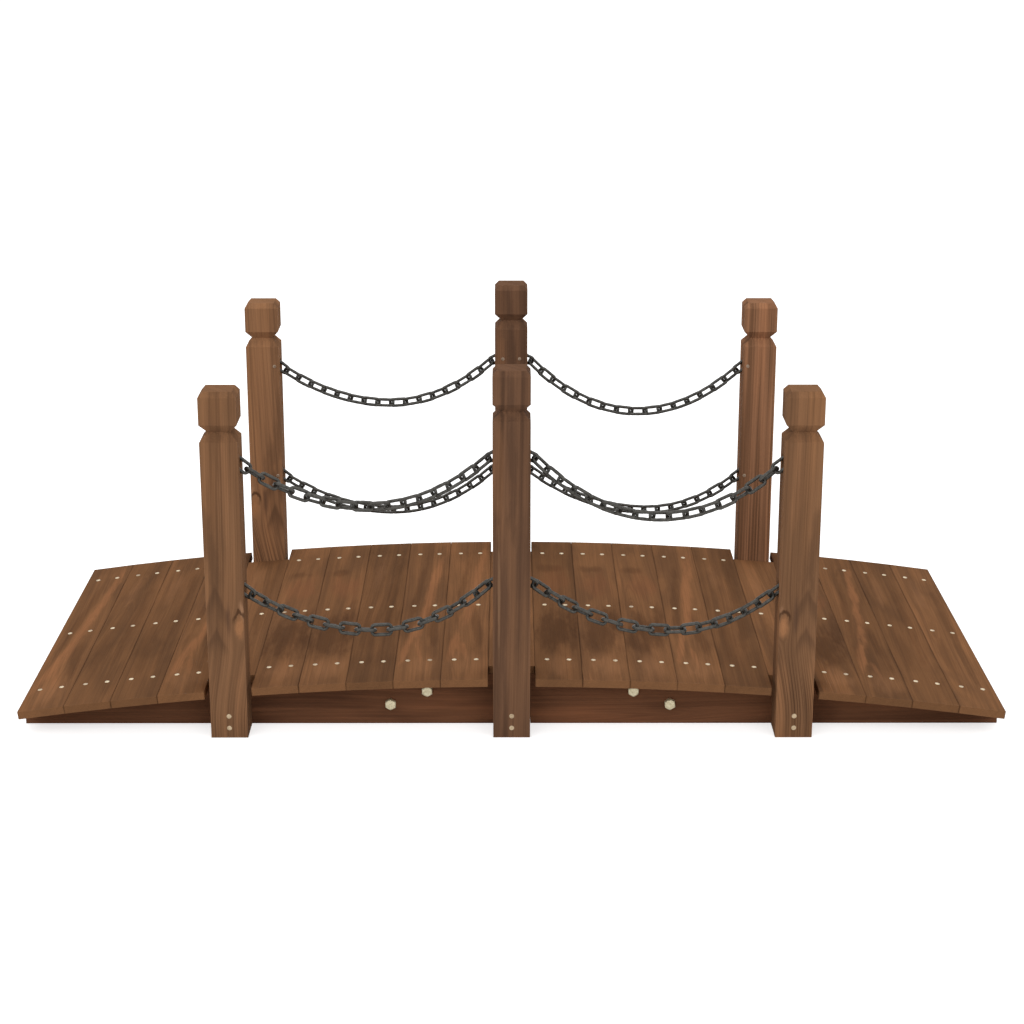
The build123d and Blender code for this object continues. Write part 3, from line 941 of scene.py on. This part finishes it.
pin_places = []
for solid in solids_of("chain_screws"):
    low, high = solid.min(0), solid.max(0)
    inward = 1 if high[1] < 0 else -1
    face = (high[1] if inward > 0 else low[1]) - inward * SOLID_PIN_HEAD_HEIGHT
    pin_places.append((((low[0] + high[0]) / 2, face, (low[2] + high[2]) / 2), (0, inward, 0)))
heads_piece("chain_screw_heads", pin_places, PIN_HEAD_RADIUS, PIN_HEAD_RISE, grey_zinc, ["chain_screws"])
bolts_piece(zinc)


def seen_directly(tree):
    """1 for what the camera sees, straight or in metal and glass, and 0 for what lights the object."""
    path = tree.nodes.new("ShaderNodeLightPath")
    total = path.outputs["Is Camera Ray"]
    for ray in ("Is Glossy Ray", "Is Transmission Ray"):
        larger = tree.nodes.new("ShaderNodeMath")
        larger.operation = "MAXIMUM"
        tree.links.new(total, larger.inputs[0])
        tree.links.new(path.outputs[ray], larger.inputs[1])
        total = larger.outputs[0]
    return total


def pick_by_ray(tree, lighting, seen, output_kind):
    """Links one shader as what lights the object, and another as what is seen directly."""
    output = tree.nodes.new(output_kind)
    pick = tree.nodes.new("ShaderNodeMixShader")
    tree.links.new(seen_directly(tree), pick.inputs[0])
    tree.links.new(lighting.outputs[0], pick.inputs[1])
    tree.links.new(seen.outputs[0], pick.inputs[2])
    tree.links.new(pick.outputs[0], output.inputs["Surface"])


def plain_shader(tree, kind, colour, strength=None):
    shader = tree.nodes.new(kind)
    shader.inputs["Color"].default_value = colour
    if strength is not None:
        shader.inputs["Strength"].default_value = strength
    return shader


def build_floor(scene):
    """Pale floor that looks white and keeps the object's shadow."""
    mesh = bpy.data.meshes.new("floor")
    reach = FLOOR_REACH
    corners = [(-reach, -reach, 0), (reach, -reach, 0), (reach, reach, 0), (-reach, reach, 0)]
    mesh.from_pydata(corners, [], [(0, 1, 2, 3)])
    floor = bpy.data.objects.new("floor", mesh)
    scene.collection.objects.link(floor)
    material = bpy.data.materials.new("pale_floor")
    material.use_nodes = True
    tree = material.node_tree
    tree.nodes.clear()
    diffuse = plain_shader(tree, "ShaderNodeBsdfDiffuse", FLOOR_GREY)
    white = plain_shader(tree, "ShaderNodeEmission", WHITE, FLOOR_GLOW)
    both = tree.nodes.new("ShaderNodeAddShader")
    tree.links.new(diffuse.outputs[0], both.inputs[0])
    tree.links.new(white.outputs[0], both.inputs[1])
    pick_by_ray(tree, diffuse, both, "ShaderNodeOutputMaterial")
    mesh.materials.append(material)


def build_world(scene):
    """White background, and a softer fill light from all round."""
    world = bpy.data.worlds.new("studio")
    scene.world = world
    world.use_nodes = True
    tree = world.node_tree
    tree.nodes.clear()
    fill = plain_shader(tree, "ShaderNodeBackground", WHITE, FILL_STRENGTH)
    backdrop = plain_shader(tree, "ShaderNodeBackground", WHITE, BACKDROP_STRENGTH)
    pick_by_ray(tree, fill, backdrop, "ShaderNodeOutputWorld")


def build_stage():
    """Floor, background, soft studio lamps and the camera."""
    scene = bpy.context.scene
    scene.view_settings.view_transform = "Standard"
    build_floor(scene)
    build_world(scene)
    for name, place, power in LAMPS:
        data = bpy.data.lights.new(name, "AREA")
        data.energy = power
        data.size = LAMP_SIZE
        lamp = bpy.data.objects.new(name, data)
        scene.collection.objects.link(lamp)
        lamp.location = place
        lamp.rotation_euler = (LAMP_TARGET - Vector(place)).to_track_quat("-Z", "Y").to_euler()
    data = bpy.data.cameras.new("camera")
    data.lens = CAMERA_LENS
    data.sensor_width = SENSOR_WIDTH
    data.clip_end = CLIP_END
    camera = bpy.data.objects.new("camera", data)
    scene.collection.objects.link(camera)
    camera.location = CAMERA_PLACE
    camera.rotation_euler = (math.pi / 2 - CAMERA_PITCH, 0.0, CAMERA_YAW)
    scene.camera = camera


build_stage()
